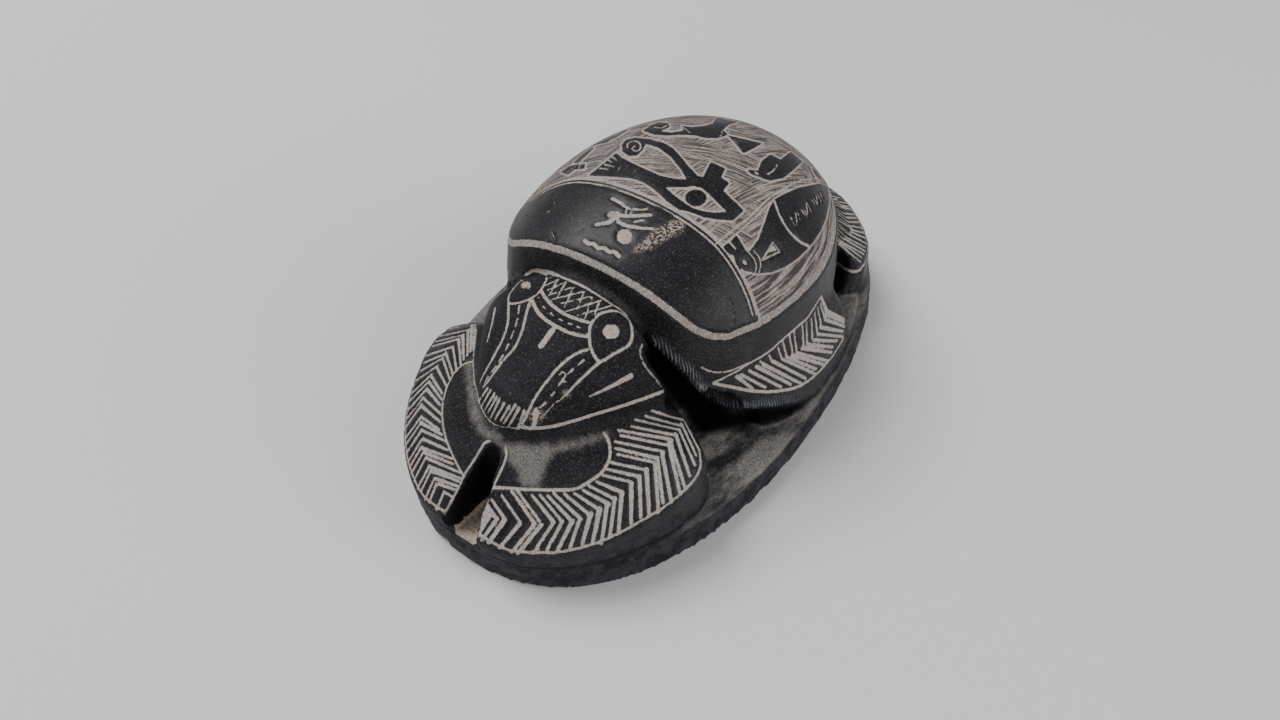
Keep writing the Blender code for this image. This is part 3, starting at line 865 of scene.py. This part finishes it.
def carve():
    """The whole stone, carved, as one mesh with the measures that its material reads."""
    bm = fine_copy(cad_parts["scarab"])
    polish(bm)
    flatten_underside(bm)
    tree = BVHTree.FromBMesh(bm)
    strokes = Strokes(tree)
    for draw in (leg_strokes, back_lines, head_strokes, back_strokes):
        draw(strokes)
    add_layers(bm, form_relief(bm, tree))
    places, normals = places_of(bm), normals_of(bm)
    hollow = hollowness(Net(bm), places, normals)
    # The share hidden from the sky is what the material paints as shade.
    add_layers(bm, {"hollow": hollow, "shade": shading(BVHTree.FromBMesh(bm), places, normals)})
    refine_along(bm, strokes)

    places, normals = places_of(bm), normals_of(bm)
    measures = carved_measures(tree, strokes, places, normals)
    depth = STROKE_DEPTH * smoothstep(measures["cut"], -EDGE_SLOPE, EDGE_SLOPE)
    scrape = SCRAPE_DEPTH * smoothstep(measures["scraped"], -EDGE_SLOPE, EDGE_SLOPE)
    low, high = np.array(cad_box) / MM
    put_places(bm, np.clip(places - normals * np.maximum(depth, scrape)[:, None], low, high) * MM)
    add_layers(bm, measures)
    bmesh.ops.triangulate(bm, faces=bm.faces)
    for face in bm.faces:
        face.smooth = True
    mesh = bpy.data.meshes.new("scarab_stone")
    bm.to_mesh(mesh)
    bm.free()
    return link(bpy.data.objects.new("scarab_stone", mesh))


# Materials.


class Graph:
    """Short names for the nodes of a material."""

    def __init__(self, name):
        self.material = bpy.data.materials.new(name)
        self.material.use_nodes = True
        self.nodes = self.material.node_tree.nodes
        self.links = self.material.node_tree.links
        self.shader = self.nodes["Principled BSDF"]

    def put(self, socket, value):
        if isinstance(value, bpy.types.NodeSocket):
            self.links.new(value, socket)
        else:
            socket.default_value = value

    def set(self, name, value):
        self.put(self.shader.inputs[name], value)

    def node(self, kind, inputs, **settings):
        """A node with these inputs and settings; it gives the outputs."""
        node = self.nodes.new("ShaderNode" + kind)
        for name, value in settings.items():
            setattr(node, name, value)
        for key, value in inputs.items():
            self.put(node.inputs[key], value)
        return node.outputs

    def measure(self, name):
        """The mesh's numbers of this name."""
        return self.node("Attribute", {}, attribute_name=name)["Fac"]

    def place(self):
        return self.node("TexCoord", {})["Object"]

    def parts(self, vector):
        return self.node("SeparateXYZ", {0: vector})

    def math(self, operation, *values):
        return self.node("Math", dict(enumerate(values)), operation=operation)["Value"]

    def chain(self, operation, values):
        result = values[0]
        for value in values[1:]:
            result = self.math(operation, result, value)
        return result

    def times(self, *values):
        return self.chain("MULTIPLY", values)

    def plus(self, *values):
        return self.chain("ADD", values)

    def most(self, *values):
        return self.chain("MAXIMUM", values)

    def scaled(self, value, by, onto):
        return self.math("MULTIPLY_ADD", value, by, onto)

    def noise(self, per_mm, detail, roughness=0.55, stretch=None, turn=0.0):
        """Noise with features about 1 / per_mm wide, drawn out along turned axes if asked."""
        vector = self.place()
        if stretch:
            inputs = {"Vector": vector, "Rotation": (0, 0, turn), "Scale": stretch}
            vector = self.node("Mapping", inputs, vector_type="TEXTURE")["Vector"]
        inputs = {"Vector": vector, "Scale": per_mm / MM, "Detail": detail, "Roughness": roughness}
        return self.node("TexNoise", inputs)["Fac"]

    def wander(self, width, *values):
        """Noise from half of the width below zero to half above."""
        return self.scaled(self.noise(*values), width, -width / 2)

    def step(self, value, low, high):
        """A smooth rise from 0 at low to 1 at high, where low can be the greater one."""
        inputs = {"Value": value, "From Min": low, "From Max": high}
        return self.node("MapRange", inputs, interpolation_type="SMOOTHSTEP")["Result"]

    def mask(self, pattern):
        """One of the patterns below."""
        values, (low, high) = pattern
        return self.step(self.noise(*values), low, high)

    def between(self, share, a, b):
        """A blend of two numbers."""
        return self.scaled(self.math("SUBTRACT", b, a), share, a)

    def mix(self, share, a, b):
        """A blend of two colours."""
        return self.node("Mix", {"Factor": share, 6: a, 7: b}, data_type="RGBA")[2]

    def over(self, colour, paint, *shares):
        """The colour with paint over it, where the shares multiply."""
        return self.mix(self.times(*shares), colour, paint)


DARK, CHARCOAL, SPECK = (0.0042, 0.0040, 0.0054, 1), (0.0135, 0.0125, 0.0155, 1), (0.16, 0.155, 0.162, 1)
LIGHT, LIGHT_WORN, SCRAPED_DARK = (0.47, 0.405, 0.365, 1), (0.22, 0.19, 0.172, 1), (0.050, 0.043, 0.040, 1)
DUST, RUST, TAN = (0.27, 0.25, 0.23, 1), (0.50, 0.21, 0.075, 1), (0.45, 0.37, 0.30, 1)
ROUGH_SIDE, SIDE_DARK = (0.032, 0.027, 0.040, 1), (0.005, 0.004, 0.006, 1)
# A painted bluish sheen for the lip's ribs, and the near black of painted shade.
BLUE_SHEEN, SHADE_PAINT = (0.15, 0.165, 0.19, 1), (0.002, 0.002, 0.003, 1)

# Patterns: what Graph.noise takes, then the values of the noise from which and to which the pattern rises.
CLOUDS = (0.2, 4, 0.65), (0.35, 0.7)
CHIPS = (0.45, 5, 0.7), (0.42, 0.58)
FINE = (4.5, 4, 0.8), (0.30, 0.70)
STREAKS = (0.30, 5, 0.65, (1.0, 3.0, 1.0), -0.25), (0.34, 0.58)
WORN = (2.2, 4, 0.7), (0.35, 0.65)
SAND = (3.0, 4, 0.7), (0.2, 0.6)
SWAPPED = (0.11, 2), (0.47, 0.53)
GRIT = (3.2, 4, 0.85), (0.40, 0.64)
POWDER = (4.5, 4, 0.8), (0.36, 0.60)
THIN_POWDER = (3.0, 4, 0.75), (0.60, 0.46)
DOTS = (3.4, 3, 0.7), (0.46, 0.56)
RUST_DOTS = (2.0, 2), (0.62, 0.68)
SHEEN_GAPS = (0.9, 2), (0.35, 0.60)
# The stone's own grain, specks and rubbed streaks: pattern, and how much it shows.
SPECKLES = (
    (((4.4, 3, 0.85), (0.53, 0.70)), 0.46),
    (((3.6, 2, 0.7), (0.67, 0.74)), 0.7),
    (((1.6, 5, 0.75, (5.0, 1.0, 1.0), 0.6), (0.60, 0.80)), 0.12),
)
# The scratches of the scraped ground: two directions on top, and one round the flanks.
HATCHES = (
    (4.6, 4, 0.65, (26.0, 1.0, 26.0), 1.35),
    (4.6, 4, 0.65, (26.0, 1.0, 26.0), 0.40),
    (4.2, 4, 0.65, (24.0, 24.0, 1.0)),
)

# From and to which value a place counts as what is named. UP is the upward part of the normal, and ALONG the
# place along the beetle; the rest are the mesh's own measures.
EDGE, TRACED, BROAD_STROKE = (-0.04, 0.08), (0.34, 0.20), (0.44, 0.48)
HEAD_ALONG, HEAD_HEIGHT = (-15.0, -17.0), (13.5, 15.5)
LOW_HEIGHT, LOW_UP = (8.5, 5.5), (0.75, 0.35)
SEAM_OFF, SEAM_UP, SEAM_WANDER = (0.45, 0.10), (0.65, 0.40), 1.2
LEDGE_HEIGHT, LEDGE_UP = (8.5, 7.0), (0.55, 0.9)
PIT, RIDGE = (0.03, 0.16), (-0.08, -0.20)
PATCH, PATCH_WANDER = (-0.7, 0.7), 2.4
ON_FLOOR, IN_SCATTER = (-0.2, 0.3), (-0.5, 0.6)
SCRATCHED, SCRATCHED_DEEP, FLANK_UP = (0.44, 0.52), (0.49, 0.62), (0.80, 0.70)
LIP_UP, LIP_ALONG, RIB_TOPS = (0.80, 0.35), (0.0, -9.0), (-0.2, 0.9)
SHADED, UPPER_HEIGHT = (0.25, 0.75), (13.0, 17.0)


def plain_stone(g):
    colour = g.mix(g.mask(CLOUDS), DARK, CHARCOAL)
    for pattern, shown in SPECKLES:
        colour = g.over(colour, SPECK, g.mask(pattern), shown)
    return colour


def scraped_colour(g, hatch, traced):
    """Scratches, and the line that the tool left round each figure."""
    colour = g.mix(g.step(hatch, *SCRATCHED), SCRAPED_DARK, LIGHT_WORN)
    colour = g.over(colour, LIGHT, g.step(hatch, *SCRATCHED_DEEP), 0.75)
    colour = g.over(colour, SCRAPED_DARK, g.mask(GRIT), 0.66)
    return g.over(colour, LIGHT, traced, 0.6)


def stone_material():
    g = Graph("dark_stone")
    cut, half, scraped, scatter = (g.measure(name) for name in ("cut", "half", "scraped", "scatter"))
    hollow, shade, dusty = (g.measure(name) for name in ("hollow", "shade", "dusty"))
    slot_floor, recess, lip = (g.measure(name) for name in ("slot_floor", "recess", "lip"))
    position = g.parts(g.node("VectorMath", {0: g.place(), "Scale": 1 / MM}, operation="SCALE")["Vector"])
    along, height = position["Y"], position["Z"]
    up = g.parts(g.node("NewGeometry", {})["Normal"])["Z"]
    head = g.times(g.step(along, *HEAD_ALONG), g.step(height, *HEAD_HEIGHT))
    fine = g.mask(FINE)

    # Rough purplish stone low on the sides, with a crease above it that is painted dark as its shade.
    low_side = g.times(g.step(height, *LOW_HEIGHT), g.step(up, *LOW_UP))
    chipped = g.mix(g.mask(CHIPS), SIDE_DARK, ROUGH_SIDE)
    colour = g.over(plain_stone(g), chipped, low_side, 0.9)
    seam_height = g.plus(g.wander(SEAM_WANDER, 0.25, 2), SEAM)
    off_seam = g.math("ABSOLUTE", g.math("SUBTRACT", height, seam_height))
    seam = g.times(g.step(off_seam, *SEAM_OFF), g.step(up, *SEAM_UP))
    colour = g.over(colour, SIDE_DARK, seam, 0.9)

    # Dust on the ledge, in the hollows and in patches, wear on the edges, and sand in the slot.
    ledge = g.times(g.step(height, *LEDGE_HEIGHT), g.step(up, *LEDGE_UP))
    ledge = g.times(ledge, g.mask(STREAKS), g.scaled(fine, 0.85, 0.15))
    pits = g.times(g.step(hollow, *PIT), fine, 0.34)
    worn = g.times(g.step(hollow, *RIDGE), g.mask(WORN), 0.55)
    patch = g.step(g.plus(dusty, g.wander(PATCH_WANDER, 1.2, 5, 0.75)), *PATCH)
    dust = g.most(ledge, pits, worn, g.times(patch, g.scaled(fine, 0.6, 0.15)))
    colour = g.mix(dust, colour, DUST)
    sandy = g.times(g.step(slot_floor, *ON_FLOOR), g.mask(SAND))
    colour = g.mix(sandy, colour, TAN)

    # The scraped ground, and powder in the strokes, thinner in the broad ones; their edges are ragged.
    ragged = g.plus(g.wander(0.16, 1.6, 3), g.wander(0.16, 6.0, 2))
    scraped = g.plus(scraped, ragged)
    field, stroke = g.step(scraped, *EDGE), g.step(g.plus(cut, ragged), *EDGE)
    hatches = [g.noise(*values) for values in HATCHES]
    hatch = g.between(g.mask(SWAPPED), hatches[0], hatches[1])
    hatch = g.between(g.step(up, *FLANK_UP), hatch, hatches[2])
    colour = g.mix(field, colour, scraped_colour(g, hatch, g.step(scraped, *TRACED)))
    powder = g.mix(g.mask(POWDER), LIGHT_WORN, LIGHT)
    powder = g.over(powder, LIGHT_WORN, g.step(half, *BROAD_STROKE), g.mask(THIN_POWDER))
    colour = g.mix(stroke, colour, powder)
    scattered = g.mix(g.mask(RUST_DOTS), TAN, RUST)
    colour = g.over(colour, scattered, g.mask(DOTS), g.step(scatter, *IN_SCATTER), 0.85)

    # The ribbed lip gets a painted bluish sheen, and what the stone hides from the sky, with the shadow below
    # the midleg's lip and on the slot walls, gets painted shade.
    across = g.plus(g.times(along, 0.8), g.times(g.math("ABSOLUTE", position["X"]), 0.6))
    ribs = g.math("SINE", g.scaled(across, 2 * math.pi / RIB, g.times(g.noise(0.7, 2), 9.0)))
    ribbed = g.times(lip, g.step(up, *LIP_UP))
    # The sheen is a painted highlight: the rib tops get a light bluish colour.
    sheen = g.times(ribbed, g.step(ribs, *RIB_TOPS), g.between(g.step(along, *LIP_ALONG), 0.25, 1.0))
    colour = g.over(colour, BLUE_SHEEN, sheen, g.mask(SHEEN_GAPS), 0.85)
    painted_shade = g.times(g.step(shade, *SHADED), g.between(g.step(height, *UPPER_HEIGHT), 0.85, 0.45))
    painted_shade = g.times(g.most(painted_shade, g.times(recess, 0.97)), g.scaled(sandy, -0.7, 1.0))
    g.set("Base Color", g.mix(painted_shade, colour, SHADE_PAINT))

    # Polished where it is neither opened, rough, dusty, under painted shade nor on the head.
    opened = g.most(stroke, field, dust)
    rough = g.plus(g.scaled(g.noise(0.5, 4), 0.16, 0.34), g.times(opened, 0.40), g.times(low_side, 0.15))
    g.set("Roughness", g.plus(rough, g.times(g.most(painted_shade, head), 0.3)))
    g.set("Specular IOR Level", g.scaled(g.most(painted_shade, g.times(head, 0.35)), -0.20, 0.22))

    # Heights in millimetres.
    relief = g.plus(
        g.times(hatch, field, 0.06),
        g.times(g.noise(4.0, 3), stroke, 0.07),
        g.times(g.noise(0.55, 5, 0.65), low_side, 1.4),
        g.times(seam, -0.4),
        g.times(g.noise(1.6, 4, 0.65), 0.025),
        g.times(ribs, ribbed, 0.05),
    )
    bump = g.node("Bump", {"Strength": 1.0, "Distance": MM, "Height": relief})
    g.set("Normal", bump["Normal"])
    return g.material


# The studio.

FLOOR_GREY, FLOOR_ROUGHNESS = (0.62, 0.62, 0.62, 1), 0.8
FLOOR_HALF, FLOOR_DROP = 3.0, 0.03 * MM  # in metres: half its side, and how far it is below the stone
SKY, SKY_STRENGTH = (0.75, 0.77, 0.80, 1), 0.35
LIGHTS = (
    # Right, up and back of the middle as the camera sees it, in metres; diameter, in metres; watts.
    ("key", (-0.45, 0.75, -0.25), 0.60, 8.8),
    ("fill", (0.75, 0.40, 0.25), 0.70, 4.8),
    ("front", (-0.10, 0.30, 0.80), 0.60, 2.0),
)


def floor_material():
    g = Graph("pale_floor")
    g.set("Base Color", FLOOR_GREY)
    g.set("Roughness", FLOOR_ROUGHNESS)
    return g.material


def add_floor():
    mesh = bpy.data.meshes.new("floor")
    corners = [(x * FLOOR_HALF, y * FLOOR_HALF, -FLOOR_DROP) for x, y in ((-1, -1), (1, -1), (1, 1), (-1, 1))]
    mesh.from_pydata(corners, [], [(0, 1, 2, 3)])
    mesh.materials.append(floor_material())
    link(bpy.data.objects.new("floor", mesh))


def add_lights():
    level_back = np.array([BACK[0], BACK[1], 0]) / math.hypot(BACK[0], BACK[1])
    middle = TARGET * MM
    for name, (right, up, back), size, watts in LIGHTS:
        data = bpy.data.lights.new(name, "AREA")
        data.shape, data.size, data.energy = "DISK", size, watts
        light = link(bpy.data.objects.new(name, data))
        place = middle + right * RIGHT + up * np.array([0, 0, 1]) + back * level_back
        light.location = place
        light.rotation_euler = Vector(place - middle).to_track_quat("Z", "Y").to_euler()
    world = bpy.data.worlds.new("studio")
    world.use_nodes = True
    background = world.node_tree.nodes["Background"]
    background.inputs["Color"].default_value = SKY
    background.inputs["Strength"].default_value = SKY_STRENGTH
    bpy.context.scene.world = world


add_camera()
add_lights()
add_floor()
stone = carve()
stone.data.materials.append(stone_material())
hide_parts("scarab")
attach(stone, "root")
